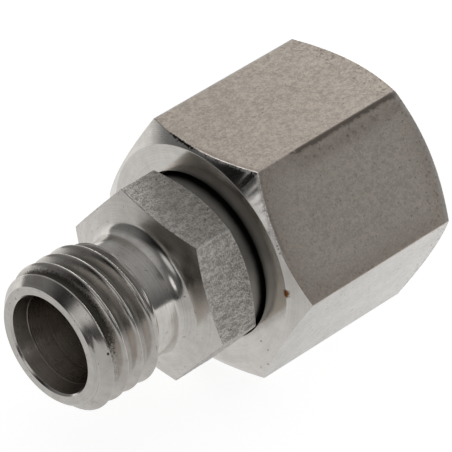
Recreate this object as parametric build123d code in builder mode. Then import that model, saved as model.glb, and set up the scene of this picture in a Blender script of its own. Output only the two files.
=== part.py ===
from build123d import *
import os
from math import cos, pi, tan, radians

# Straight reducing coupling with a swivel nut, for 24 degree cone tube fittings, in millimetres.
# It lies on one flat of the nut with its axis along X, the small end at -X.

# Small end: male thread M12x1.5 and socket for a 6 mm tube
small_thread_diameter = 11.8
small_thread_length = 6.0
small_face_diameter = 9.7
small_entry_length = 1.05
runout_length = 0.6
tube_bore_diameter = 6.1
tube_bore_depth = 7.0
socket_mouth_diameter = 8.1
socket_mouth_break = 0.15
small_bore_diameter = 4.0
cone_angle = 24.0

# Neck and small hexagon
neck_diameter = 9.8
neck_fillet = 1.2
small_flats = 14.0
small_hexagon_front = 10.36
small_hexagon_back = 14.45
small_hexagon_turn = 12.1
shoulder_angle = 15.0
small_back_face_diameter = 13.7

# Shank that carries the nut
shank_diameter = 13.4
shank_length = 7.9
shank_edge = 0.3

# Large end: 24 degree sealing cone for a 10 mm size, with its ring groove
cone_large_diameter = 12.4
cone_length = 6.3
cone_tip_break = 0.3
cone_shoulder_length = 0.5
large_bore_diameter = 6.0
large_bore_depth = 15.0
drill_angle = 118.0

# Seal ring, 7.5 x 1.5, and its groove
seal_inner_diameter = 7.8
seal_section = 1.5
seal_groove_width = 1.9
seal_from_tip = 2.3
seal_clearance = 0.02

# Swivel nut, internal thread M16x1.5
nut_flats = 19.0
nut_length = 17.0
nut_gap = 1.35
nut_face_diameter = 18.4
chamfer_angle = 30.0
swivel_clearance = 0.165
opening_break = 0.15
nut_bore_length = 5.2
nut_thread_minor_diameter = 14.376
nut_thread_major_diameter = 16.2
nut_relief_length = 0.9
bevel_angle = 45.0

# Retaining ring of spring wire, half in the shank and half in the nut
wire_diameter = 1.4
wire_clearance = 0.05
wire_from_nut_face = 2.6
wire_compression_room = 0.9
wire_gap_angle = 16.0

# Stations along the axis, counted from the small end's face
shank_end = small_hexagon_back + shank_length
cone_start = shank_end + cone_shoulder_length
body_end = cone_start + cone_length
nut_front = small_hexagon_back + nut_gap
nut_back = nut_front + nut_length
wire_station = nut_front + wire_from_nut_face
seal_station = body_end - seal_from_tip

# Radii that follow from the sizes above
small_corner_radius = small_flats / 2 / cos(pi / 6)
nut_corner_radius = nut_flats / 2 / cos(pi / 6)
turning_margin = 1.0
opening_radius = shank_diameter / 2 + swivel_clearance
wire_centre_radius = (shank_diameter / 2 + opening_radius) / 2
wire_groove_width = wire_diameter + 2 * wire_clearance
seal_centre_radius = (seal_inner_diameter + seal_section) / 2
seal_floor_radius = seal_inner_diameter / 2 - seal_clearance
cone_tip_radius = cone_large_diameter / 2 - cone_length * tan(radians(cone_angle / 2))

# The axis lies half a nut above the surface, and the middle of the length is at the origin
axis_height = nut_flats / 2
small_end = Vector(-nut_back / 2, 0, axis_height)
axis = Axis(small_end, (1, 0, 0))
profile_plane = Plane(origin=small_end, x_dir=(1, 0, 0), z_dir=(0, -1, 0))
bar_plane = Plane(origin=small_end, x_dir=(0, 1, 0), z_dir=(1, 0, 0))


def rise(run, angle):
    """Length of the side beside run in a right triangle, for a face that slopes by angle."""
    return run * tan(radians(angle))


def hexagon_bar(flats, start, end, turn):
    """Hexagon bar stock from start to end along the axis, turned about it."""
    with BuildSketch(bar_plane.offset(start)) as bar:
        RegularPolygon(radius=flats / 2, side_count=6, major_radius=False, rotation=turn)
    extrude(bar.sketch, amount=end - start)


# Body, turned from hexagon bar
shoulder_corner = small_hexagon_front - rise(small_corner_radius - neck_diameter / 2, shoulder_angle)
turning_radius = small_corner_radius + turning_margin
shoulder_reach = small_hexagon_front + rise(turning_margin, shoulder_angle)
back_bevel = rise(turning_radius - small_back_face_diameter / 2, chamfer_angle)

with BuildPart() as reducer_body:
    hexagon_bar(small_flats, 0, body_end, small_hexagon_turn)
    with BuildSketch(profile_plane) as turned_outline:
        with BuildLine():
            Polyline(
                (0, 0),
                (0, small_face_diameter / 2),
                (small_entry_length, small_thread_diameter / 2),
                (small_thread_length, small_thread_diameter / 2),
                (small_thread_length + runout_length, neck_diameter / 2),
                (shoulder_corner, neck_diameter / 2),
                (shoulder_reach, turning_radius),
                (small_hexagon_back - back_bevel, turning_radius),
                (small_hexagon_back, small_back_face_diameter / 2),
                (small_hexagon_back, shank_diameter / 2),
                (shank_end - shank_edge, shank_diameter / 2),
                (shank_end, shank_diameter / 2 - shank_edge),
                (cone_start, cone_large_diameter / 2),
                (body_end, cone_tip_radius),
                (body_end, 0),
                close=True,
            )
        make_face()
        neck_corner = Vector(shoulder_corner, neck_diameter / 2)
        fillet(turned_outline.vertices().sort_by_distance(neck_corner)[0], radius=neck_fillet)
        tip_corner = Vector(body_end, cone_tip_radius)
        chamfer(turned_outline.vertices().sort_by_distance(tip_corner)[0], length=cone_tip_break)
    revolve(axis=axis, mode=Mode.INTERSECT)

    # Socket for the small tube: mouth, 24 degree cone, tube bore with a flat stop
    socket_cone_length = (socket_mouth_diameter - tube_bore_diameter) / 2 / rise(1, cone_angle / 2)
    with BuildSketch(profile_plane):
        with BuildLine():
            Polyline(
                (0, 0),
                (0, socket_mouth_diameter / 2 + socket_mouth_break),
                (socket_mouth_break, socket_mouth_diameter / 2),
                (socket_mouth_break + socket_cone_length, tube_bore_diameter / 2),
                (tube_bore_depth, tube_bore_diameter / 2),
                (tube_bore_depth, small_bore_diameter / 2),
                (body_end, small_bore_diameter / 2),
                (body_end, 0),
                close=True,
            )
        make_face()
    revolve(axis=axis, mode=Mode.SUBTRACT)

    # Wider bore from the large end, with the drill's point
    drill_point = (large_bore_diameter - small_bore_diameter) / 2 / rise(1, drill_angle / 2)
    with BuildSketch(profile_plane):
        with BuildLine():
            Polyline(
                (body_end, 0),
                (body_end, large_bore_diameter / 2),
                (body_end - large_bore_depth, large_bore_diameter / 2),
                (body_end - large_bore_depth - drill_point, small_bore_diameter / 2),
                (body_end - large_bore_depth - drill_point, 0),
                close=True,
            )
        make_face()
    revolve(axis=axis, mode=Mode.SUBTRACT)

    # Grooves for the retaining ring and the seal ring
    wire_floor = wire_centre_radius - wire_diameter / 2 - wire_compression_room
    with BuildSketch(profile_plane):
        with Locations((wire_station, wire_floor)):
            Rectangle(wire_groove_width, shank_diameter, align=(Align.CENTER, Align.MIN))
        with Locations((seal_station, seal_floor_radius)):
            Rectangle(seal_groove_width, shank_diameter, align=(Align.CENTER, Align.MIN))
    revolve(axis=axis, mode=Mode.SUBTRACT)

# Swivel nut, chamfered at both ends
nut_turning_radius = nut_corner_radius + turning_margin
nut_bevel = rise(nut_turning_radius - nut_face_diameter / 2, chamfer_angle)

with BuildPart() as swivel_nut:
    hexagon_bar(nut_flats, nut_front, nut_back, 0)
    with BuildSketch(profile_plane):
        with BuildLine():
            Polyline(
                (nut_front, 0),
                (nut_front, nut_face_diameter / 2),
                (nut_front + nut_bevel, nut_turning_radius),
                (nut_back - nut_bevel, nut_turning_radius),
                (nut_back, nut_face_diameter / 2),
                (nut_back, 0),
                close=True,
            )
        make_face()
    revolve(axis=axis, mode=Mode.INTERSECT)

    # Inside: opening round the shank, relief, thread and mouth
    relief_start = nut_front + nut_bore_length
    relief_radius = nut_thread_major_diameter / 2
    minor_radius = nut_thread_minor_diameter / 2
    entry_bevel = rise(relief_radius - opening_radius, bevel_angle)
    thread_bevel = rise(relief_radius - minor_radius, bevel_angle)
    relief_end = relief_start + entry_bevel + nut_relief_length
    thread_start = relief_end + thread_bevel
    with BuildSketch(profile_plane):
        with BuildLine():
            Polyline(
                (nut_front, 0),
                (nut_front, opening_radius + opening_break),
                (nut_front + opening_break, opening_radius),
                (relief_start, opening_radius),
                (relief_start + entry_bevel, relief_radius),
                (relief_end, relief_radius),
                (thread_start, minor_radius),
                (nut_back - thread_bevel, minor_radius),
                (nut_back, relief_radius),
                (nut_back, 0),
                close=True,
            )
        make_face()
    revolve(axis=axis, mode=Mode.SUBTRACT)

    # Groove for the retaining ring
    wire_roof = wire_centre_radius + wire_diameter / 2 + wire_clearance
    with BuildSketch(profile_plane):
        with Locations((wire_station, 0)):
            Rectangle(wire_groove_width, wire_roof, align=(Align.CENTER, Align.MIN))
    revolve(axis=axis, mode=Mode.SUBTRACT)

# Retaining ring, a round wire bent to an open ring
with BuildPart() as retaining_ring:
    with BuildSketch(profile_plane):
        with Locations((wire_station, wire_centre_radius)):
            Circle(wire_diameter / 2)
    revolve(axis=axis, revolution_arc=360 - wire_gap_angle)

# Seal ring in its groove on the cone
with BuildPart() as seal_ring:
    with BuildSketch(profile_plane):
        with Locations((seal_station, seal_centre_radius)):
            Circle(seal_section / 2)
    revolve(axis=axis)

reducer_body.part.label = "reducer_body"
swivel_nut.part.label = "swivel_nut"
retaining_ring.part.label = "retaining_ring"
seal_ring.part.label = "seal_ring"

os.makedirs("parts", exist_ok=True)
export_step(reducer_body.part, "parts/reducer_body.step")
export_step(swivel_nut.part, "parts/swivel_nut.step")
export_step(retaining_ring.part, "parts/retaining_ring.step")
export_step(seal_ring.part, "parts/seal_ring.step")
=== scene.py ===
from math import atan, cos, pi, radians, sin, tan

import bpy
import numpy as np
from mathutils import Matrix, Vector


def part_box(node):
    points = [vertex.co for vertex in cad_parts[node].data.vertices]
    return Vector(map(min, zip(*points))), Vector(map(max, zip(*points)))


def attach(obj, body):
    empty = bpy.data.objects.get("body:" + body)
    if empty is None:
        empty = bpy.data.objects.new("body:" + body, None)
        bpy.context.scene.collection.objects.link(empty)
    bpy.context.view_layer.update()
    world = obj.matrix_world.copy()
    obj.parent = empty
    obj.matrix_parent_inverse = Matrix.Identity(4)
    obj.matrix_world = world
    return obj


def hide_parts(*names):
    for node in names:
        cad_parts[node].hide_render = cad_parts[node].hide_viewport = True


# Steel reducing coupling with a swivel nut. Stations run along the axis from the small end's face, and
# radii from the axis, both in millimetres. Angles run round the axis from +Y towards +Z.

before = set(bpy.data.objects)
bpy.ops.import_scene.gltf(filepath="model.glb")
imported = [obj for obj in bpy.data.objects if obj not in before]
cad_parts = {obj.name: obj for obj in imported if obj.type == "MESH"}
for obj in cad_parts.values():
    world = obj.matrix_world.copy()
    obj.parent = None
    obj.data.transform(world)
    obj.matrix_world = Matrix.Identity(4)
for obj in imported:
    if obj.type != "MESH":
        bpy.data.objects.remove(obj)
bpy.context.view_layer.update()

MM = 0.001
body_low, body_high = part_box("reducer_body")
nut_low, nut_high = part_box("swivel_nut")
small_face = body_low.x
axis_height = (nut_low.z + nut_high.z) / 2
body_end = (body_high.x - small_face) / MM
nut_front = (nut_low.x - small_face) / MM
nut_back = (nut_high.x - small_face) / MM
nut_apothem = (nut_high.z - nut_low.z) / 2 / MM

# Small end
face_radius = 4.85
mouth_radius = 4.05
mouth_break = 0.15
tube_bore_radius = 3.05
tube_bore_depth = 7.0
small_bore_radius = 2.0
cone_half_angle = radians(12)
tool_line_depth = 1.40
tool_line_height = 0.02
tool_line_width = 0.05

# Thread M12x1.5 on the small end, and M16x1.5 in the nut
pitch = 1.5
thread_radius = 5.9
thread_root_radius = 5.06
thread_end = 6.0
runout_end = 6.6
entry_ring = 0.15
runout_ring = 6.52
crest_station = 2.31
crest_angle = radians(136)
crest_half_width = 0.085
crest_softness = 0.07
nut_minor_radius = 7.188
nut_major_radius = 8.1
nut_crest_half_width = 0.12
flank_slope = 1 / tan(radians(30))

# Neck and small hexagon
neck_radius = 4.9
neck_fillet = 1.2
shoulder_slope = tan(radians(15))
hexagon_front = 10.36
hexagon_back = 14.45
hexagon_apothem = 7.0
hexagon_turn = radians(12.1)
hexagon_corner_round = 0.09
back_face_radius = 6.85
bevel_slope = tan(radians(30))

# Shank, sealing cone and their grooves
shank_radius = 6.7
shank_end = 22.35
shank_edge = 0.3
cone_start = 22.85
cone_radius = 6.2
cone_tip_break = 0.3
large_bore_radius = 3.0
large_bore_depth = 15.0
drill_half_angle = radians(59)
seal_station = 26.85
seal_groove_width = 1.9
seal_low = seal_station - seal_groove_width / 2
seal_high = seal_station + seal_groove_width / 2
seal_floor_radius = 3.88
seal_radius = 4.65
seal_section_radius = 0.75

# Nut and the ring that holds it
nut_face_radius = 9.2
nut_corner_round = 0.10
nut_opening_radius = 6.865
nut_opening_break = 0.15
nut_bore_end = 21.0
nut_relief_end = 23.135
wire_station = 18.4
wire_ring_radius = 6.7825
wire_radius = 0.7
wire_groove_width = 1.5
wire_low = wire_station - wire_groove_width / 2
wire_high = wire_station + wire_groove_width / 2
wire_groove_floor = 5.1825
wire_groove_roof = 7.5325
wire_gap = radians(16)

# Rounding of the edges
fine_round = 0.03
edge_round = 0.05
face_round = 0.04
rolled_round = 0.07
bore_mouth_round = 0.08
groove_floor_round = 0.1
tool_line_round = 0.01
nut_face_round = 0.12
nut_far_round = 0.06
lip_round = 0.04

# Grid, with steps in millimetres along a run
body_flat_steps = 46
nut_flat_steps = 86
corner_steps = 4
bevel_steps = 2
fillet_steps = 10
row_step = 3.0
chamfer_row_step = 0.22
rolled_row_step = 0.1
guard_step = 0.03
longest_guard = 0.3
longest_rounding = 0.45
body_thread_rows = 18
nut_thread_rows = 12

# Rolled skin of the hexagon. Each grain is weight, features to a millimetre, factor along the bar, and seed
rolled_grains = (0.4, 2.2, 0.6, 11), (0.4, 4.2, 1, 12), (0.3, 7.5, 1, 13)
rolled_level = 0.35
rolled_depth = 0.045
rolled_fade = 0.12
# Width of the edge wear, which also paints a highlight at the hexagon's corners
edge_wear_and_glint_width = 0.16

# Dirt on the body, and a painted dark reflection on the shoulder. A value with two rows gives angles in
# degrees, and the strength at each
groove_dirt = (-10, 25, 120, 175), (0.7, 1.3, 1.3, 0.8)
most_dirt = 1.6
first_groove_dirt = (-10, 25, 150, 180), (0, 1, 1, 0.74)
first_groove_end = 1.8
first_groove_ease = 1.5
shoulder_painted_reflection = (84, 104, 156, 172), (0, 1, 1, 0)
shoulder_painted_reflection_radius = 5.4
shoulder_painted_reflection_fade = 0.6
shoulder_margin = 0.4

# Painted shade on the shank towards the gap at the nut, from where it starts to where it is black, in
# millimetres along X
gap_shade_start = -1.35
gap_shade_end = -0.55

# Wear, dirt and a beige tint on the nut, and a painted shadow beside its torn lip, with two rows as above
torn_lip = (
    (86, 92, 99, 107, 110, 113, 119, 124, 132, 138, 150, 160),
    (0, 0.7, 1.0, 1.0, 0.5, 1.0, 0.9, 0.6, 0.7, 1.0, 0.9, 0),
)
# Painted shadow beside the torn lip, on the top flat
painted_lip_shadow = (68, 74, 86, 92), (0, 1, 1, 0)
lip_width = 0.11
lip_depth = 0.03
lip_reach = 0.09
lip_wobble = 0.05
lip_waves_per_mm = 2.0
lip_seed = 31
fine_strip = 0.4
fine_step = 0.08
# Beige tint, full on the top flat and less on the right flat
upper_flats_beige = (60, 61, 119, 120, 180, 181), (0, 1, 1, 0.8, 0.8, 0)
right_flat_start = 119.5
right_flat_end = 180
scuff_width = 0.5
scuff_start = 4.0
scuff_ease = 1.5
scuff_last_angle = 150
second_scuff = 0.5
second_scuff_gap = 1.1
second_scuff_width = 1.0
border_width = 2.0
border_dirt = 0.42
rear_strip = 2.4
rear_step = 0.5
rear_light_width = 0.35

# Colours. A pair runs from the darker shade to the lighter one
turned_body_colours = (0.65, 0.62, 0.585), (0.74, 0.715, 0.675)
thread_colours = (0.61, 0.57, 0.53), (0.70, 0.67, 0.63)
rolled_colours = (0.52, 0.49, 0.455), (0.90, 0.865, 0.82)
# Shank colours are darkened as painted shade, for the shade between the hexagon and the nut
shaded_shank_colours = (0.36, 0.345, 0.325), (0.46, 0.44, 0.415)
socket_colours = (0.38, 0.345, 0.31), (0.50, 0.465, 0.43)
mouth_colours = (0.41, 0.375, 0.34), (0.52, 0.485, 0.45)
bore_colours = (0.36, 0.33, 0.31), (0.46, 0.43, 0.40)
turned_nut_colours = (0.66, 0.63, 0.595), (0.75, 0.725, 0.69)
bare_flat_colours = (0.68, 0.665, 0.635), (0.82, 0.805, 0.775)
beige_flat_colours = (0.50, 0.435, 0.375), (0.82, 0.73, 0.64)
nut_bore_colours = (0.38, 0.36, 0.34), (0.48, 0.46, 0.43)
wire_colours = (0.34, 0.33, 0.32), (0.46, 0.45, 0.43)
rubber_colours = (0.018, 0.018, 0.018), (0.035, 0.035, 0.034)
speck_colour = (0.12, 0.108, 0.095)
# Painted dark reflection on the shoulder's upper side
painted_reflection_colour = (0.16, 0.145, 0.125)
# Painted shade: near black, in the gap beside the nut
painted_gap_shade_colour = (0.02, 0.018, 0.016)
thread_dirt_colour = (0.085, 0.078, 0.06)
thread_nick_colour = (0.03, 0.028, 0.025)
rolled_cloud_colour = (0.52, 0.485, 0.45)
rolled_pit_colour = (0.16, 0.148, 0.135)
# Rubbed edges, partly a painted highlight at the hexagon's corners
rubbed_edge_and_glint_colour = (0.85, 0.83, 0.80)
lip_colour = (0.98, 0.93, 0.90)
# Painted shadow beside the torn lip
lip_shadow_colour = (0.03, 0.027, 0.024)
nut_nick_colour = (0.05, 0.045, 0.04)
rust_colour = (0.25, 0.10, 0.03)
light_scuff_colour = (0.36, 0.28, 0.235)
dark_scuff_colour = (0.19, 0.16, 0.14)
fleck_colour = (0.19, 0.15, 0.12)
far_rim_colour = (0.86, 0.84, 0.81)

# Floor, with half its width in metres and its blend in millimetres, and room
floor_half = 3.0
floor_paint = 0.4
floor_glow = 0.88
# Painted shade: the glow that metal sees falls to this on the small end's side
floor_shaded_side = 0.5
floor_turn = radians(25)
floor_blend_reach = 40
room_brightness = 0.005


def smooth_min(a, b, softness):
    """The smaller of two arrays, with the crease between them rounded over a width of softness."""
    overlap = np.maximum(softness - np.abs(a - b), 0)
    return np.minimum(a, b) - overlap**2 / (4 * softness)


def smooth_max(a, b, softness):
    """The larger of two arrays, with the crease between them rounded over a width of softness."""
    return -smooth_min(-a, -b, softness)


def nearness(distance, width):
    """A bell over a distance: e to the minus square of distance over width."""
    return np.exp(-((distance / width) ** 2))


def value_noise(points, per_mm, seed):
    """Smooth random heights from -1 to 1: random values on a cubic lattice, blended by eased weights."""
    size = 64
    lattice = np.random.default_rng(seed).uniform(-1, 1, (size, size, size))
    scaled = np.asarray(points) * per_mm
    cell = np.floor(scaled).astype(int)
    part = scaled - cell
    ease = part * part * (3 - 2 * part)
    total = np.zeros(scaled.shape[:-1])
    for corner in np.ndindex(2, 2, 2):
        index = (cell + corner) % size
        weight = np.prod(np.where(corner, ease, 1 - ease), axis=-1)
        total += weight * lattice[index[..., 0], index[..., 1], index[..., 2]]
    return total


def points_round_axis(stations, radii, angles):
    """Places in millimetres from the small end's centre: station, radius times cosine, radius times sine."""
    return np.stack(np.broadcast_arrays(stations, radii * np.cos(angles), radii * np.sin(angles)), axis=-1)


def hexagon_edge(apothem, corner_round):
    """Angle from a flat's middle to where the corner's rounding starts."""
    return atan((apothem - corner_round) * tan(pi / 6) / apothem)


def hexagon_columns(apothem, corner_round, turn, flat_steps):
    """Angles of the grid's columns: even steps along each flat, and a few across each rounded corner."""
    edge = hexagon_edge(apothem, corner_round)
    flat = np.arctan(np.linspace(-tan(edge), tan(edge), flat_steps))
    corner = np.linspace(edge, pi / 3 - edge, corner_steps + 1)[1:-1]
    sextant = np.concatenate([flat, corner]) + turn + pi / 6
    return (sextant + np.arange(6)[:, None] * pi / 3).ravel()


def hexagon_radius(angles, apothem, corner_round, turn):
    """Distance from the axis to a hexagon with round corners: apothem over cosine on a flat, and the far
    side of a small circle at a corner."""
    offset = np.abs((angles - turn) % (pi / 3) - pi / 6)
    lean = pi / 6 - offset
    centre = (apothem - corner_round) / cos(pi / 6)
    reach = np.sqrt(np.maximum(corner_round**2 - (centre * np.sin(lean)) ** 2, 0))
    on_flat = offset <= hexagon_edge(apothem, corner_round)
    return np.where(on_flat, apothem / np.cos(offset), centre * np.cos(lean) + reach)


def rounded_corner(before, here, after, rounding):
    """An arc tangent to the two runs that meet at a corner, for each column: the start and end vectors from
    the arc's centre are blended by the sines of their shares of the turn."""
    back, ahead = before - here, after - here
    back_length, ahead_length = np.linalg.norm(back, axis=0), np.linalg.norm(ahead, axis=0)
    back, ahead = back / back_length, ahead / ahead_length
    half = np.arccos(np.clip((back * ahead).sum(0), -1, 1)) / 2
    reach = np.minimum(rounding / np.tan(half), longest_rounding * np.minimum(back_length, ahead_length))
    middle = (back + ahead) / np.linalg.norm(back + ahead, axis=0)
    centre = here + middle * reach / np.cos(half)
    first, last = here + back * reach - centre, here + ahead * reach - centre
    sweep = pi - 2 * half
    steps = bevel_steps if rounding < neck_fillet else fillet_steps
    share = np.linspace(0, 1, steps + 1)[:, None, None]
    return centre + (np.sin((1 - share) * sweep) * first + np.sin(share * sweep) * last) / np.sin(sweep)


def straight_run(first, last, step):
    """Points between two corners at even steps, with one more close to each end."""
    length = np.linalg.norm(last - first, axis=0).max()
    even = np.linspace(0, 1, max(1, round(length / step)) + 1)[1:-1]
    guard = min(guard_step / length, longest_guard)
    share = np.unique(np.concatenate([even[(even > guard) & (even < 1 - guard)], [guard, 1 - guard]]))
    return first + share[:, None, None] * (last - first)


def outline(corners, columns):
    """Rows of (station, radius) for each column along a turned outline, with every corner rounded.

    Each corner is (station, radius, rounding, finish of the run after it, step along that run). Returns the
    rows, and for each row the number of the run that it begins or lies in."""
    place = np.array([[np.broadcast_to(value, columns) for value in corner[:2]] for corner in corners])
    bends = []
    for number, corner in enumerate(corners):
        inner = 0 < number < len(corners) - 1
        if inner and corner[2] > 0:
            bends.append(rounded_corner(place[number - 1], place[number], place[number + 1], corner[2]))
        else:
            bends.append(place[number][None])
    rows, runs = [], []
    for number, bend in enumerate(bends):
        rows.append(bend)
        runs.append(np.full(len(bend), number))
        if number + 1 < len(bends):
            run = straight_run(bend[-1], bends[number + 1][0], corners[number][4])
            rows.append(run)
            runs.append(np.full(len(run), number))
    return np.concatenate(rows), np.concatenate(runs)


def split_squares(here, turned, above, above_turned):
    """Two triangles for each square of the grid, given the vertex numbers at its four corners."""
    halves = [np.stack([here, turned, above_turned], -1), np.stack([here, above_turned, above], -1)]
    return np.stack(halves, 2).reshape(-1, 3)


def ring_band(rings):
    """Triangles between neighbouring rings, given the vertex numbers of all rings in order."""
    turned = np.roll(rings, -1, axis=1)
    return split_squares(rings[:-1], turned[:-1], rings[1:], turned[1:])


def helical_band(low_ring, high_ring, start, end, angles, first_number, radius_of, thread_rows):
    """A threaded band between two rings, as rows that climb one pitch a turn, cut off at both stations.

    A point's station is its row's level plus the pitch times its share of a turn, and radius_of gives its
    radius. Levels crowd together at crests and roots by a cosine. Returns points, triangles and columns."""
    columns = len(angles)
    share = (angles - angles[0]) / (2 * pi)
    half_turn = np.arange(thread_rows) * 2 / thread_rows
    crowded = (np.floor(half_turn) + (1 - np.cos(pi * (half_turn % 1))) / 2) / 2
    turns = int(np.ceil((end - start) / pitch)) + 2
    crest = crest_station - pitch * (crest_angle - angles[0]) / (2 * pi)
    lowest = crest + pitch * (np.floor((start - crest) / pitch) - 1)
    level = lowest + pitch * (np.arange(turns)[:, None] + crowded).ravel()
    level = np.append(level, lowest + pitch * turns)
    stations = level[:, None] + pitch * share
    low, high = stations < start + guard_step, stations > end - guard_step
    kept = ~(low | high)
    number = np.full(stations.shape, -1)
    number[kept] = first_number + np.arange(kept.sum())
    number = np.where(low, low_ring, np.where(high, high_ring, number))
    seam = np.full(len(level), high_ring[0])
    seam[:-thread_rows] = number[thread_rows:, 0]
    number = np.column_stack([number, seam])
    triangles = split_squares(number[:-1, :-1], number[:-1, 1:], number[1:, :-1], number[1:, 1:])
    first, second, third = triangles.T
    triangles = triangles[(first != second) & (second != third) & (third != first)]
    spread = np.broadcast_to(angles, (len(level), columns))[kept]
    return stations[kept], radius_of(stations[kept], spread), spread, triangles


def thread_height(stations, angles, half_width):
    """Drop from a thread's crest line, in the radius, by the flank's slope beyond the crest's flat top."""
    phase = (stations - crest_station) / pitch - (angles - crest_angle) / (2 * pi)
    from_crest = np.abs(phase - np.round(phase)) * pitch
    return (from_crest - half_width) * flank_slope


def turned_envelope(stations):
    """Radius of the blank under the thread: the smaller of the entry chamfer's cone and the run-out's."""
    runout_slope = (thread_radius - neck_radius) / (runout_end - thread_end)
    return np.minimum(face_radius + stations, neck_radius + (runout_end - stations) * runout_slope)


def small_thread_radius(stations, angles):
    """The male thread: a trapezoid with soft corners, cut by the entry chamfer and by the run-out."""
    drop = thread_height(stations, angles, crest_half_width)
    rooted = smooth_max(thread_radius - drop, thread_root_radius, crest_softness)
    thread = smooth_min(thread_radius, rooted, crest_softness)
    return smooth_min(thread, turned_envelope(stations), crest_softness / 2)


def nut_thread_radius(stations, angles):
    """The nut's thread: the same trapezoid turned inwards, opened by a bevel at each end."""
    drop = thread_height(stations, angles, nut_crest_half_width)
    rooted = smooth_min(nut_minor_radius + drop, nut_major_radius, crest_softness)
    thread = smooth_max(nut_minor_radius, rooted, crest_softness)
    inner_bevel = nut_major_radius - (stations - nut_relief_end)
    mouth_bevel = nut_major_radius - (nut_back - stations)
    return np.maximum(thread, np.maximum(inner_bevel, mouth_bevel))


def make_mesh(name, points, triangles, finishes, finish_numbers, marks):
    """A smooth shaded mesh object from arrays, placed in metres in the frame, with an attribute per mark."""
    mesh = bpy.data.meshes.new(name)
    placed = points * MM + np.array([small_face, 0, axis_height])
    mesh.vertices.add(len(placed))
    mesh.vertices.foreach_set("co", placed.astype(np.float32).ravel())
    mesh.loops.add(triangles.size)
    mesh.loops.foreach_set("vertex_index", triangles.astype(np.int32).ravel())
    mesh.polygons.add(len(triangles))
    mesh.polygons.foreach_set("loop_start", np.arange(0, triangles.size, 3, dtype=np.int32))
    for finish in finishes:
        mesh.materials.append(finish)
    mesh.polygons.foreach_set("material_index", finish_numbers.astype(np.int32))
    mesh.polygons.foreach_set("use_smooth", np.ones(len(triangles), bool))
    mesh.update(calc_edges=True)
    for mark, strength in marks.items():
        attribute = mesh.attributes.new(mark, "FLOAT", "POINT")
        attribute.data.foreach_set("value", strength.astype(np.float32))
    mesh.validate()
    piece = bpy.data.objects.new(name, mesh)
    bpy.context.scene.collection.objects.link(piece)
    return piece


def turned_piece(name, corners, angles, thread, finishes, roughen, mark):
    """A closed turned piece: its outline's rows round the axis, joined at both ends by a threaded band.

    thread is (radius function, finish name, whether the band lies inside, rows a pitch). roughen changes
    the rows' radii, and mark gives the named attributes from stations, radii and angles."""
    names = list(finishes)
    radius_of, thread_finish, inside, thread_rows = thread
    rows, runs = outline(corners, len(angles))
    rows = roughen(rows, runs, angles)
    stations, radii = rows[:, 0].ravel(), rows[:, 1].ravel()
    spread = np.broadcast_to(angles, rows[:, 0].shape).ravel()
    numbers = np.arange(stations.size).reshape(len(rows), -1)
    triangles = ring_band(numbers)
    run_finish = np.array([names.index(corner[3]) for corner in corners])
    finish_numbers = np.repeat(run_finish[runs[:-1]], 2 * len(angles))
    low, high = (numbers[0], numbers[-1]) if inside else (numbers[-1], numbers[0])
    start, end = (corners[0][0], corners[-1][0]) if inside else (corners[-1][0], corners[0][0])
    band = helical_band(low, high, start, end, angles, stations.size, radius_of, thread_rows)
    band_triangles = band[3][:, ::-1] if inside else band[3]
    stations, radii = np.concatenate([stations, band[0]]), np.concatenate([radii, band[1]])
    spread = np.concatenate([spread, band[2]])
    triangles = np.concatenate([triangles, band_triangles])
    finish_numbers = np.append(finish_numbers, np.full(len(band_triangles), names.index(thread_finish)))
    points = points_round_axis(stations, radii, spread)
    marks = mark(stations, radii, spread)
    return make_mesh(name, points, triangles, finishes.values(), finish_numbers, marks)


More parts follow.
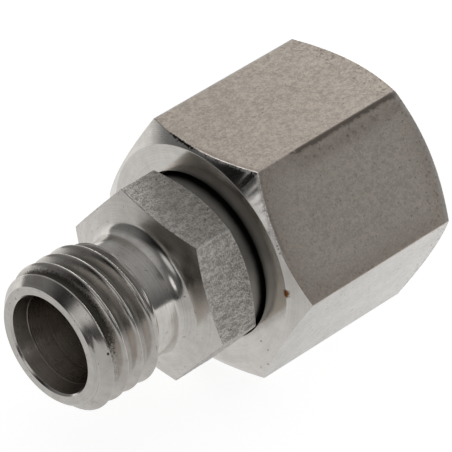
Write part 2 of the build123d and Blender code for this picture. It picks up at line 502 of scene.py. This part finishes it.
def coupling_body(finishes):
    """The turned body: socket, thread, neck, hexagon, shank, sealing cone and bores in one closed skin."""
    angles = hexagon_columns(hexagon_apothem, hexagon_corner_round, hexagon_turn, body_flat_steps)
    corner_radius = hexagon_apothem / cos(pi / 6)
    reach = hexagon_radius(angles, hexagon_apothem, hexagon_corner_round, hexagon_turn)
    shoulder = hexagon_front - (corner_radius - neck_radius) * shoulder_slope
    front_edge = hexagon_front - (corner_radius - reach) * shoulder_slope
    back_edge = hexagon_back - (reach - back_face_radius) * bevel_slope

    def cone(station):
        """Radius of the sealing cone, which falls by the tangent of its half angle."""
        return cone_radius - (station - cone_start) * tan(cone_half_angle)

    tip_station = body_end - cone_tip_break * cos(cone_half_angle)
    bore_bottom = body_end - large_bore_depth
    drill_tip = bore_bottom - (large_bore_radius - small_bore_radius) / tan(drill_half_angle)
    socket_bottom = mouth_break + (mouth_radius - tube_bore_radius) / tan(cone_half_angle)

    def socket(station):
        """Radius of the socket's cone, which falls inwards by the tangent of the same angle."""
        return mouth_radius - (station - mouth_break) * tan(cone_half_angle)

    line_low, line_high = tool_line_depth - tool_line_width, tool_line_depth + tool_line_width
    corners = [
        (runout_ring, turned_envelope(runout_ring), 0, "turned", row_step),
        (runout_end, neck_radius, edge_round, "turned", row_step),
        (shoulder, neck_radius, neck_fillet, "turned", chamfer_row_step),
        (front_edge, reach, rolled_round, "rolled", rolled_row_step),
        (back_edge, reach, edge_round, "turned", chamfer_row_step),
        (hexagon_back, back_face_radius, fine_round, "turned", row_step),
        (hexagon_back, shank_radius, 0, "shank", row_step),
        (wire_low, shank_radius, fine_round, "shank", row_step),
        (wire_low, wire_groove_floor, 0, "shank", row_step),
        (wire_high, wire_groove_floor, 0, "shank", row_step),
        (wire_high, shank_radius, fine_round, "shank", row_step),
        (shank_end - shank_edge, shank_radius, fine_round, "turned", row_step),
        (shank_end, shank_radius - shank_edge, fine_round, "turned", row_step),
        (cone_start, cone_radius, fine_round, "turned", row_step),
        (seal_low, cone(seal_low), edge_round, "turned", row_step),
        (seal_low, seal_floor_radius, groove_floor_round, "turned", row_step),
        (seal_high, seal_floor_radius, groove_floor_round, "turned", row_step),
        (seal_high, cone(seal_high), edge_round, "turned", row_step),
        (tip_station, cone(tip_station), edge_round, "turned", row_step),
        (body_end, cone(body_end) - cone_tip_break, edge_round, "turned", row_step),
        (body_end, large_bore_radius, bore_mouth_round, "bore", row_step),
        (bore_bottom, large_bore_radius, edge_round, "bore", row_step),
        (drill_tip, small_bore_radius, edge_round, "bore", row_step),
        (tube_bore_depth, small_bore_radius, edge_round, "bore", row_step),
        (tube_bore_depth, tube_bore_radius, edge_round, "bore", row_step),
        (socket_bottom, tube_bore_radius, edge_round, "socket", row_step),
        (line_high, socket(line_high), 0, "socket", row_step),
        (tool_line_depth, socket(tool_line_depth) - tool_line_height, tool_line_round, "socket", row_step),
        (line_low, socket(line_low), 0, "mouth", row_step),
        (mouth_break, mouth_radius, edge_round, "turned", row_step),
        (0, mouth_radius + mouth_break, edge_round, "turned", row_step),
        (0, face_radius, face_round, "turned", row_step),
        (entry_ring, turned_envelope(entry_ring), 0, "turned", row_step),
    ]
    rolled_run = 3

    def roughen(rows, runs, angles):
        """Grain of the rolled bar: a sum of three sizes of noise, less a level and faded at the edges."""
        flat = runs == rolled_run
        stations, radii = rows[flat, 0], rows[flat, 1]
        points = points_round_axis(stations, radii, angles)
        grain = sum(
            weight * value_noise(points * (factor, 1, 1), per_mm, seed)
            for weight, per_mm, factor, seed in rolled_grains
        )
        from_edge = np.minimum(stations - front_edge, back_edge - stations)
        fade = np.clip(from_edge / rolled_fade, 0, 1)
        rows[flat, 1] = radii + fade * rolled_depth * (grain - rolled_level)
        return rows

    def mark(stations, radii, spread):
        """root is the dirt by depth in the thread, and first_root the same in the first groove. wear is how
        near a point is to an edge of the hexagon, and the shoulder's mark is a painted dark reflection on
        its upper part."""
        degrees = np.degrees(spread)
        threaded = (stations < runout_end) & (radii > face_radius)
        blank = np.minimum(turned_envelope(stations), thread_radius)
        depth = np.where(threaded, (blank - radii) / (thread_radius - thread_root_radius), 0)
        root = np.clip(depth * np.interp(degrees, *groove_dirt), 0, most_dirt)
        turn = stations / pitch - spread / (2 * pi)
        first_groove = np.clip(first_groove_ease * (first_groove_end - turn), 0, 1)
        first_root = root * first_groove * np.interp(degrees, *first_groove_dirt)
        # Edge wear, which also stands for a painted highlight at the corners
        offset = np.abs((spread - hexagon_turn) % (pi / 3) - pi / 6)
        to_corner = hexagon_apothem * (tan(pi / 6) - np.tan(offset))
        edge = hexagon_front - (corner_radius - radii) * shoulder_slope
        to_edge = np.minimum(to_corner, np.abs(stations - edge))
        behind_neck = (stations > shoulder + shoulder_margin) & (stations < hexagon_back)
        wear = np.where(behind_neck & (radii > shank_radius), nearness(to_edge, edge_wear_and_glint_width), 0)
        # Painted shade: a dark reflection on the shoulder's upper side, fading towards the neck
        on_shoulder = (stations > shoulder) & (stations < edge + guard_step) & (radii < corner_radius)
        outwards = np.clip((radii - shoulder_painted_reflection_radius) / shoulder_painted_reflection_fade, 0, 1)
        film = np.where(on_shoulder, np.interp(degrees % 360, *shoulder_painted_reflection) * outwards, 0)
        return {"root": root, "first_root": first_root, "wear": wear, "film": film}

    thread = (small_thread_radius, "thread", False, body_thread_rows)
    return turned_piece("coupling_body_steel", corners, angles, thread, finishes, roughen, mark)


def swivel_nut(finishes):
    """The hexagon nut, chamfered at both ends, with its opening, ring groove, relief and thread."""
    angles = hexagon_columns(nut_apothem, nut_corner_round, 0, nut_flat_steps)
    reach = hexagon_radius(angles, nut_apothem, nut_corner_round, 0)
    along = value_noise(points_round_axis(0, nut_apothem, angles), lip_waves_per_mm, lip_seed)
    torn = np.interp(np.degrees(angles) % 360, *torn_lip)
    wobble = lip_wobble * along * torn
    front_edge = nut_front + (reach - nut_face_radius) * bevel_slope + np.maximum(wobble, 0)
    back_edge = nut_back - (reach - nut_face_radius) * bevel_slope
    relief_start = nut_bore_end + nut_major_radius - nut_opening_radius
    corners = [
        (nut_relief_end, nut_major_radius, 0, "bore", row_step),
        (relief_start, nut_major_radius, groove_floor_round, "bore", row_step),
        (nut_bore_end, nut_opening_radius, fine_round, "bore", row_step),
        (wire_high, nut_opening_radius, fine_round, "bore", row_step),
        (wire_high, wire_groove_roof, 0, "bore", row_step),
        (wire_low, wire_groove_roof, 0, "bore", row_step),
        (wire_low, nut_opening_radius, fine_round, "bore", row_step),
        (nut_front + nut_opening_break, nut_opening_radius, edge_round, "turned", row_step),
        (nut_front, nut_opening_radius + nut_opening_break, edge_round, "turned", row_step),
        (nut_front, nut_face_radius, nut_face_round, "turned", chamfer_row_step),
        (front_edge, reach, lip_round, "flat", fine_step),
        (front_edge + fine_strip, reach, 0, "flat", row_step),
        (back_edge - rear_strip, reach, 0, "flat", rear_step),
        (back_edge, reach, nut_far_round, "turned", chamfer_row_step),
        (nut_back, nut_face_radius, nut_face_round, "turned", row_step),
        (nut_back, nut_major_radius, 0, "turned", row_step),
    ]
    lip_run = 10

    def roughen(rows, runs, angles):
        """A shallow hollow behind the torn lip: it falls within lip_reach and fades over the fine strip."""
        strip = runs == lip_run
        behind = rows[strip, 0] - front_edge
        hollow = np.clip(behind / lip_reach, 0, 1) * np.clip((fine_strip - behind) / fine_strip, 0, 1)
        rows[strip, 1] -= lip_depth * hollow * torn
        return rows

    def mark(stations, radii, spread):
        """lip is the torn front edge, tears the painted shadow beside it, scuff the dirt round the right
        flat, stain the beige tint on the top and right flats, rear how near the far end is, and rim the
        rubbed far edge."""
        degrees = np.degrees(spread) % 360
        to_corner = nut_apothem * (tan(pi / 6) - np.tan(np.abs(spread % (pi / 3) - pi / 6)))
        bevel = (hexagon_radius(spread, nut_apothem, nut_corner_round, 0) - nut_face_radius) * bevel_slope
        to_front = np.abs(stations - nut_front - bevel)
        to_back = nut_back - bevel - stations
        to_side = np.minimum(to_corner, np.minimum(to_front, to_back))
        outside = radii > nut_face_radius
        on_right = (degrees > right_flat_start) & (degrees < right_flat_end)
        lip = np.interp(degrees, *torn_lip) * nearness(to_front, lip_width)
        # Painted shadow beside the torn lip
        tears = np.interp(degrees, *painted_lip_shadow) * nearness(to_front, lip_width)
        second = second_scuff * nearness(to_corner - second_scuff_gap, second_scuff_width)
        band = np.maximum(nearness(to_corner, scuff_width), second)
        onset = np.clip((stations - nut_front - scuff_start) / scuff_ease, 0, 1)
        border = border_dirt * nearness(to_side, border_width)
        scuff = np.maximum(band * onset * (degrees < scuff_last_angle), border) * on_right
        stain = np.interp(degrees, *upper_flats_beige)
        rear = np.clip(1 - to_back / rear_strip, 0, 1)
        rim = nearness(to_back, rear_light_width) * on_right
        marks = {"lip": lip, "tears": tears, "scuff": scuff, "stain": stain, "rear": rear, "rim": rim}
        return {name: np.where(outside, strength, 0) for name, strength in marks.items()}

    thread = (nut_thread_radius, "bore", True, nut_thread_rows)
    return turned_piece("swivel_nut_steel", corners, angles, thread, finishes, roughen, mark)


def ring_of_wire(name, station, ring_radius, wire, gap, finishes):
    """A round section carried round the axis: radius is ring radius plus wire times cosine, station is the
    middle plus wire times sine. A gap leaves it open, with a flat end at each side."""
    around, across = 180, 28
    section = np.linspace(0, 2 * pi, across, endpoint=False)
    if gap:
        angles = np.linspace(0, 2 * pi - gap, around)
    else:
        angles = np.linspace(0, 2 * pi, around, endpoint=False)
    stations = station + wire * np.sin(section)
    radii = ring_radius + wire * np.cos(section)
    rows = points_round_axis(stations, radii, angles[:, None])
    numbers = np.arange(around * across).reshape(around, across)
    loop = numbers if gap else np.vstack([numbers, numbers[:1]])
    triangles = ring_band(loop)
    points = rows.reshape(-1, 3)
    if gap:
        ends = points_round_axis(station, ring_radius, angles[[0, -1]])
        points = np.vstack([points, ends])
        first, last = numbers[0], numbers[-1]
        hubs = np.repeat([[len(points) - 2], [len(points) - 1]], across, axis=1)
        first_lid = np.stack([hubs[0], np.roll(first, -1), first], 1)
        last_lid = np.stack([hubs[1], last, np.roll(last, -1)], 1)
        triangles = np.vstack([triangles, first_lid, last_lid])
    finish_numbers = np.zeros(len(triangles), int)
    return make_mesh(name, points, triangles, finishes, finish_numbers, {})


class Nodes:
    """A tree of shader nodes, with the sums that the finishes and the room share."""

    def __init__(self, tree):
        self.tree = tree

    def add(self, kind, values=None, **settings):
        """A shader node of a kind, with its settings, and its inputs set or linked."""
        node = self.tree.nodes.new("ShaderNode" + kind)
        for setting, value in settings.items():
            setattr(node, setting, value)
        for socket, value in (values or {}).items():
            if isinstance(value, bpy.types.NodeSocket):
                self.tree.links.new(value, node.inputs[socket])
            else:
                node.inputs[socket].default_value = value
        return node

    def math(self, operation, first, second):
        """One sum on two numbers."""
        return self.add("Math", {0: first, 1: second}, operation=operation).outputs[0]

    def span(self, number, low, high, to_low=0.0, to_high=1.0):
        """A number carried from one span to another with eased ends, and held beyond them."""
        values = {"Value": number, "From Min": low, "From Max": high, "To Min": to_low, "To Max": to_high}
        return self.add("MapRange", values, interpolation_type="SMOOTHSTEP").outputs["Result"]


class Finish(Nodes):
    """A node material with one Principled shader. at_mm gives places in millimetres from the axis."""

    def __init__(self, name, **constants):
        self.material = bpy.data.materials.new(name)
        self.material.use_nodes = True
        super().__init__(self.material.node_tree)
        self.shader = self.tree.nodes["Principled BSDF"]
        for socket, value in constants.items():
            self.shader.inputs[socket.replace("_", " ").title()].default_value = value
        place = self.add("TexCoord").outputs["Object"]
        centred = self.add("VectorMath", {0: place, 1: (0, 0, axis_height)}, operation="SUBTRACT")
        self.at_mm = self.scaled(centred.outputs[0], (1 / MM, 1 / MM, 1 / MM))

    def scaled(self, vector, factors):
        """A vector times a factor along each axis."""
        return self.add("VectorMath", {0: vector, 1: factors}, operation="MULTIPLY").outputs[0]

    def noise(self, vector, per_mm, detail=2.0, rough=0.5):
        """Cloudy noise from 0 to 1, per_mm features to a millimetre."""
        values = {"Vector": vector, "Scale": per_mm, "Detail": detail, "Roughness": rough}
        return self.add("TexNoise", values).outputs["Fac"]

    def blend(self, share, first, second):
        """Two colours blended by a share."""
        node = self.add("Mix", {"Factor": share}, data_type="RGBA")
        for socket, value in ((6, first), (7, second)):
            if isinstance(value, bpy.types.NodeSocket):
                self.tree.links.new(value, node.inputs[socket])
            else:
                node.inputs[socket].default_value = (*value, 1)
        return node.outputs[2]

    def mixed(self, first, second):
        """Half of one number and half of another."""
        return self.math("MULTIPLY", self.math("ADD", first, second), 0.5)

    def swing(self, noise, width):
        """A noise moved to lie evenly about zero, and widened."""
        return self.math("MULTIPLY", self.math("SUBTRACT", noise, 0.5), width)

    def specks(self, per_mm):
        """Scattered specks: the lowest dips of a noise, at half strength."""
        return self.span(self.noise(self.at_mm, per_mm), 0.27, 0.33, 0.5, 0.0)

    def near(self, places, size):
        """How near a point is to the closest of some places: 1 at one, 0 beyond size, with a rough rim."""
        nearest = None
        for place in places:
            away = self.add("VectorMath", {0: self.at_mm, 1: place}, operation="DISTANCE").outputs["Value"]
            nearest = away if nearest is None else self.math("MINIMUM", nearest, away)
        rim = self.swing(self.noise(self.at_mm, 9.0, 3.0, 0.7), 1.5 * size)
        return self.span(self.math("ADD", nearest, rim), 0.4 * size, size, 1.0, 0.0)

    def tool_rings(self, per_mm, detail, rough):
        """Noise that changes only along and away from the axis, as a turning tool's rings do."""
        parts = self.add("SeparateXYZ", {0: self.at_mm})
        away = self.add("VectorMath", {0: self.scaled(self.at_mm, (0, 1, 1))}, operation="LENGTH")
        ring = self.add("CombineXYZ", {0: parts.outputs[0], 1: away.outputs["Value"]})
        return self.noise(ring.outputs[0], per_mm, detail, rough)

    def mark(self, name):
        """A mark stored on the piece, as a number."""
        return self.add("Attribute", attribute_name=name).outputs["Fac"]

    def bump(self, height, depth_mm, below=None):
        """A bump of a depth in millimetres, on top of another one if given."""
        values = {"Height": height, "Distance": depth_mm * MM}
        if below is not None:
            values["Normal"] = below
        return self.add("Bump", values).outputs[0]

    def use(self, **sockets):
        """Links values to the shader's sockets and returns the material."""
        for socket, value in sockets.items():
            self.tree.links.new(value, self.shader.inputs[socket.replace("_", " ").title()])
        return self.material


def turned_steel(name, colours, roughness, ring_depth, with_painted_reflection=False):
    """Turned steel: fine tool rings in its colour, gloss and surface, handling stains, fine specks, and a
    painted dark reflection where the shoulder's mark has it."""
    finish = Finish(name, metallic=1.0)
    rings = finish.tool_rings(14.0, 3.0, 0.7)
    clouds = finish.noise(finish.at_mm, 1.1, 5.0, 0.6)
    share = finish.mixed(rings, clouds)
    colour = finish.blend(finish.span(share, 0.38, 0.62), *colours)
    colour = finish.blend(finish.specks(4.0), colour, speck_colour)
    # Painted shade: a dark reflection on the shoulder's upper side
    if with_painted_reflection:
        film = finish.math("MULTIPLY", finish.mark("film"), 0.75)
        colour = finish.blend(film, colour, painted_reflection_colour)
    gloss = finish.span(share, 0.3, 0.7, roughness * 1.25, roughness * 0.8)
    return finish.use(base_color=colour, roughness=gloss, normal=finish.bump(rings, ring_depth))


def shank_steel():
    """Shank: faint tool rings in dark colours that stand in for the shade between the hexagon and the nut,
    and painted shade that turns black towards the gap at the nut.
    """
    finish = Finish("polished_shank_steel", metallic=1.0, roughness=0.5)
    rings = finish.tool_rings(10.0, 3.0, 0.7)
    clouds = finish.noise(finish.at_mm, 0.9, 4.0)
    share = finish.mixed(rings, clouds)
    steel = finish.blend(finish.span(share, 0.35, 0.65), *shaded_shank_colours)
    # Painted shade: darker, then black, towards the gap at the nut, with a ragged start
    place = finish.add("SeparateXYZ", {0: finish.at_mm}).outputs[0]
    ragged = finish.math("ADD", place, finish.math("MULTIPLY", clouds, 0.3))
    film = finish.span(ragged, gap_shade_start, gap_shade_end)
    colour = finish.blend(film, steel, painted_gap_shade_colour)
    return finish.use(base_color=colour, normal=finish.bump(rings, 0.003))


def with_lip(finish, grain, colour):
    """Lays the nut's torn front edge over a colour: a bright ragged lip, and a painted shadow beside it.
    Returns the lip's strength and the colour."""
    lip = finish.math("MULTIPLY", finish.mark("lip"), finish.span(grain, 0.40, 0.52))
    colour = finish.blend(lip, colour, lip_colour)
    # Painted shadow: dark and ragged beside the torn lip
    ragged = finish.math("ADD", finish.mark("tears"), finish.swing(grain, 2.5))
    return lip, finish.blend(finish.span(ragged, 0.45, 0.8), colour, lip_shadow_colour)


def turned_nut_steel():
    """The nut's turned face and chamfers: tool rings, the torn lip, a few dark nicks, and a spot of rust."""
    finish = Finish("turned_nut_steel", metallic=1.0)
    rings = finish.tool_rings(9.0, 4.0, 0.75)
    clouds = finish.noise(finish.at_mm, 0.9, 5.0, 0.6)
    grain = finish.noise(finish.at_mm, 5.0, 3.0, 0.65)
    share = finish.mixed(rings, clouds)
    colour = finish.blend(finish.span(share, 0.38, 0.62), *turned_nut_colours)
    lip, colour = with_lip(finish, grain, colour)
    colour = finish.blend(finish.near(nut_nicks, nut_nick_size), colour, nut_nick_colour)
    rust = finish.near(nut_rust, nut_rust_size)
    colour = finish.blend(rust, colour, rust_colour)
    dull = finish.math("MULTIPLY", finish.math("MAXIMUM", rust, lip), 0.35)
    gloss = finish.math("ADD", finish.span(share, 0.3, 0.7, 0.2, 0.13), dull)
    return finish.use(base_color=colour, roughness=gloss, normal=finish.bump(rings, 0.004))


def thread_steel():
    """Turned thread: bright crests, and a film of brown dirt in the roots, thick and grainy in the first."""
    finish = Finish("threaded_body_steel", metallic=1.0)
    rings = finish.tool_rings(9.0, 2.0, 0.6)
    clouds = finish.noise(finish.at_mm, 0.9, 4.0)
    grit = finish.noise(finish.at_mm, 7.0, 3.0, 0.75)
    steel = finish.blend(finish.span(clouds, 0.35, 0.65), *thread_colours)
    steel = finish.blend(finish.specks(4.5), steel, speck_colour)
    depth = finish.math("ADD", finish.mark("root"), finish.swing(clouds, 0.8))
    first = finish.mark("first_root")
    clots = finish.math("ADD", first, finish.swing(grit, 1.6))
    film, caked = finish.span(depth, 0.45, 1.4, 0.0, 0.68), finish.span(clots, 0.45, 0.9, 0.0, 0.9)
    dirt = finish.math("MAXIMUM", film, caked)
    colour = finish.blend(dirt, steel, thread_dirt_colour)
    colour = finish.blend(finish.near(thread_nicks, thread_nick_size), colour, thread_nick_colour)
    rough = finish.math("ADD", finish.math("MULTIPLY", dirt, 0.4), 0.2)
    crumbs = finish.math("MULTIPLY", finish.math("MULTIPLY", grit, first), 5.0)
    normal = finish.bump(finish.math("ADD", rings, crumbs), 0.004)
    return finish.use(base_color=colour, roughness=rough, normal=normal)


def rolled_steel():
    """Grey rolled bar: fine grain, short furrows and dark pits, with edges made lighter: rubbed wear, and a
    painted highlight where the flats meet.
    """
    finish = Finish("rolled_hexagon_steel", metallic=1.0)
    grain = finish.noise(finish.at_mm, 8.0, 2.0, 0.6)
    furrows = finish.noise(finish.scaled(finish.at_mm, (0.45, 1, 1)), 3.4, 3.0, 0.6)
    clouds = finish.noise(finish.at_mm, 0.8, 4.0, 0.6)
    share = finish.mixed(grain, furrows)
    colour = finish.blend(finish.span(share, 0.40, 0.60), *rolled_colours)
    colour = finish.blend(finish.span(clouds, 0.35, 0.65, 0.25, 0.0), colour, rolled_cloud_colour)
    pits = finish.span(finish.noise(finish.at_mm, 2.6, 3.0, 0.6), 0.30, 0.36, 0.7, 0.0)
    colour = finish.blend(pits, colour, rolled_pit_colour)
    # Rubbed edges, partly a painted highlight at the corners
    wear = finish.math("MULTIPLY", finish.mark("wear"), finish.span(grain, 0.35, 0.6, 0.0, 0.7))
    colour = finish.blend(wear, colour, rubbed_edge_and_glint_colour)
    rough = finish.span(share, 0.3, 0.7, 0.6, 0.48)
    normal = finish.bump(grain, 0.09, finish.bump(furrows, 0.12))
    return finish.use(base_color=colour, roughness=rough, normal=normal)


def satin_flat_steel():
    """Satin flats of the nut: grey mottling, a beige tint on the top and right flats, dirt round the right
    flat, brown flecks that gather to the rear, the torn lip and its painted shadow in front, and a rubbed
    rim behind."""
    finish = Finish("satin_nut_steel", metallic=1.0)
    grain = finish.noise(finish.at_mm, 6.5, 3.0, 0.65)
    mottle = finish.noise(finish.scaled(finish.at_mm, (0.8, 1, 1)), 2.6, 4.0, 0.65)
    clouds = finish.noise(finish.at_mm, 0.45, 4.0, 0.6)
    fine = finish.span(finish.mixed(grain, mottle), 0.38, 0.62)
    shade = finish.mixed(fine, finish.mixed(fine, finish.span(clouds, 0.3, 0.7)))
    bare = finish.blend(shade, *bare_flat_colours)
    beige_tinted = finish.blend(shade, *beige_flat_colours)
    colour = finish.blend(finish.mark("stain"), bare, beige_tinted)
    scuff = finish.math("ADD", finish.mark("scuff"), finish.swing(mottle, 1.4))
    colour = finish.blend(finish.span(scuff, 0.15, 0.6, 0.0, 0.5), colour, light_scuff_colour)
    colour = finish.blend(finish.span(scuff, 0.5, 0.8, 0.0, 0.8), colour, dark_scuff_colour)
    rearward = finish.math("MULTIPLY", finish.mark("rear"), 0.1)
    flecks = finish.math("ADD", finish.noise(finish.at_mm, 3.4, 3.0, 0.6), rearward)
    colour = finish.blend(finish.span(flecks, 0.63, 0.71, 0.0, 0.55), colour, fleck_colour)
    rim = finish.math("MULTIPLY", finish.mark("rim"), finish.span(mottle, 0.35, 0.6, 0.2, 0.7))
    colour = finish.blend(rim, colour, far_rim_colour)
    colour = with_lip(finish, grain, colour)[1]
    rough = finish.span(clouds, 0.3, 0.7, 0.42, 0.36)
    return finish.use(base_color=colour, roughness=rough, normal=finish.bump(mottle, 0.01))


def spring_steel():
    """Drawn wire in clouded grey."""
    finish = Finish("spring_wire_steel", metallic=1.0)
    clouds = finish.noise(finish.at_mm, 3.0, 3.0)
    colour = finish.blend(finish.span(clouds, 0.3, 0.7), *wire_colours)
    return finish.use(base_color=colour, roughness=finish.span(clouds, 0.3, 0.7, 0.4, 0.3))


def seal_rubber():
    """Black moulded rubber with a faint bloom."""
    finish = Finish("black_seal_rubber")
    clouds = finish.noise(finish.at_mm, 2.0, 3.0)
    colour = finish.blend(finish.span(clouds, 0.3, 0.7), *rubber_colours)
    return finish.use(base_color=colour, roughness=finish.span(clouds, 0.3, 0.7, 0.42, 0.55))


def make_floor():
    """White floor. The camera sees its own white and a faint shadow, and metal mirrors a glowing sheet that
    is white on the nut's side and dimmer towards the small end, as painted shade on the floor."""
    corners = [(x * floor_half, y * floor_half, 0) for x, y in ((-1, -1), (1, -1), (1, 1), (-1, 1))]
    mesh = bpy.data.meshes.new("studio_floor")
    mesh.from_pydata(corners, [], [(0, 1, 2, 3)])
    floor = bpy.data.objects.new("studio_floor", mesh)
    bpy.context.scene.collection.objects.link(floor)
    finish = Finish("white_floor", roughness=0.9)
    finish.shader.inputs["Specular IOR Level"].default_value = 0
    finish.shader.inputs["Base Color"].default_value = (floor_paint, floor_paint, floor_paint, 1)
    way = (cos(floor_turn), sin(floor_turn), 0)
    across = finish.add("VectorMath", {0: finish.at_mm, 1: way}, operation="DOT_PRODUCT").outputs["Value"]
    # Painted shade: the glow seen by metal dims towards the small end
    sheet = finish.span(across, -floor_blend_reach, floor_blend_reach, floor_shaded_side, 1.0)
    mirrored = finish.add("Emission", {"Strength": sheet})
    path = finish.add("LightPath").outputs
    seen = finish.add("Emission", {"Strength": finish.math("MULTIPLY", path["Is Camera Ray"], floor_glow)})
    painted = finish.add("AddShader", {0: finish.shader.outputs[0], 1: seen.outputs[0]})
    by_metal = finish.math("ADD", path["Is Glossy Ray"], path["Is Transmission Ray"])
    shader = finish.add("MixShader", {0: by_metal, 1: painted.outputs[0], 2: mirrored.outputs[0]})
    finish.tree.links.new(shader.outputs[0], finish.tree.nodes["Material Output"].inputs[0])
    mesh.materials.append(finish.material)


def light_studio():
    """A dark room with soft reflectors. Each is a disc with a faded rim: azimuth from +Y towards +X and
    elevation, the angles where its rim starts and ends, and its brightness in a mirror."""
    reflectors = {
        "behind": (67, 5, 16, 32, 2.3),
        "beside": (97, 8, 19, 27, 1.6),
        "wide": (75, 24, 32, 92, 0.26),
        "overhead": (17, 85, 15, 40, 0.16),
        "front": (192, 27, 8, 14, 0.85),
        "front_high": (-158, 50, 19, 65, 0.13),
        "left": (-110, 32, 4, 19, 0.56),
        "left_low": (-93, 2, 8, 13, 0.77),
        "far": (-11, 20, 14, 58, 0.17),
    }
    world = bpy.data.worlds.new("studio_room")
    world.use_nodes = True
    room = Nodes(world.node_tree)
    way = room.add("TexCoord").outputs["Generated"]
    brightness = room_brightness
    for name, (azimuth, elevation, rim_start, rim_end, strength) in reflectors.items():
        bearing, height = radians(azimuth), radians(elevation)
        centre = (sin(bearing) * cos(height), cos(bearing) * cos(height), sin(height))
        inner, outer = cos(radians(rim_start)), cos(radians(rim_end))
        toward = room.add("VectorMath", {0: way, 1: centre}, name=name, operation="DOT_PRODUCT")
        disc = room.span(toward.outputs["Value"], outer, inner, 0.0, strength)
        brightness = room.math("ADD", brightness, disc)
    background = room.tree.nodes["Background"]
    background.inputs["Color"].default_value = (1, 1, 1, 1)
    room.tree.links.new(brightness, background.inputs["Strength"])
    bpy.context.scene.world = world


def place_camera():
    """Camera at the photograph's viewing angle: it looks at aim from distance, and leans by roll."""
    azimuth, elevation, roll = radians(43.816), radians(34.85), radians(-2.27)
    distance = 0.34755
    aim = Vector((0.0019087, -0.0003591, 0.0110257))
    forward = Vector((sin(azimuth) * cos(elevation), cos(azimuth) * cos(elevation), -sin(elevation)))
    level = Vector((cos(azimuth), -sin(azimuth), 0))
    right = level * cos(roll) + level.cross(forward) * sin(roll)
    upward = right.cross(forward)
    lens = bpy.data.cameras.new("photo_camera")
    lens.sensor_width = 36
    lens.lens = 364.35
    camera = bpy.data.objects.new("photo_camera", lens)
    turn = Matrix((right, upward, -forward)).transposed().to_4x4()
    camera.matrix_world = Matrix.Translation(aim - forward * distance) @ turn
    bpy.context.scene.collection.objects.link(camera)
    bpy.context.scene.camera = camera


def spot(station, radius, degrees):
    """A place in millimetres from the axis, for the finishes, from a station, a radius and an angle."""
    angle = radians(degrees)
    return (station + small_face / MM, radius * cos(angle), radius * sin(angle))


nut_rust_size = 0.34
nut_rust = [spot(15.8, 9.17, 175.8), spot(15.8, 9.2, 174.6)]
nut_nick_size = 0.10
nut_nicks = [
    spot(15.95, 9.55, 77), spot(15.9, 9.44, 150.6), spot(15.9, 9.46, 152.2), spot(15.9, 9.46, 154.5),
    spot(16.14, 9.79, 227.4), spot(16.15, 9.81, 233.5), spot(15.8, 8.05, 218.5), spot(15.8, 8.92, 218.0),
]
thread_nick_size = 0.15
thread_nicks = [
    spot(1.45, 5.9, 57.8), spot(0.83, 5.68, 60.3), spot(1.0, 5.8, 70.5), spot(3.92, 5.9, 56),
    spot(5.25, 5.9, 89), spot(0.89, 5.74, 164.4), spot(4.93, 5.9, 181),
]
body_finishes = {
    "turned": turned_steel("turned_body_steel", turned_body_colours, 0.16, 0.003, with_painted_reflection=True),
    "thread": thread_steel(),
    "rolled": rolled_steel(),
    "shank": shank_steel(),
    "socket": turned_steel("socket_steel", socket_colours, 0.25, 0.012),
    "mouth": turned_steel("socket_mouth_steel", mouth_colours, 0.33, 0.012),
    "bore": turned_steel("bored_steel", bore_colours, 0.32, 0.008),
}
nut_finishes = {
    "turned": turned_nut_steel(),
    "flat": satin_flat_steel(),
    "bore": turned_steel("nut_bore_steel", nut_bore_colours, 0.3, 0.008),
}
body = coupling_body(body_finishes)
nut = swivel_nut(nut_finishes)
wire, rubber = [spring_steel()], [seal_rubber()]
wire_ring = ring_of_wire("retaining_ring_wire", wire_station, wire_ring_radius, wire_radius, wire_gap, wire)
seal = ring_of_wire("seal_ring_rubber", seal_station, seal_radius, seal_section_radius, 0, rubber)

for piece, carrier, node, slot in (
    (body, "coupling_body", "reducer_body", "body_steel"),
    (nut, "nut", "swivel_nut", "nut_steel"),
    (wire_ring, "nut", "retaining_ring", "spring_steel"),
    (seal, "coupling_body", "seal_ring", "seal_rubber"),
):
    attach(piece, carrier)
    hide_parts(node)

make_floor()
light_studio()
place_camera()
bpy.context.scene.view_settings.view_transform = "Standard"
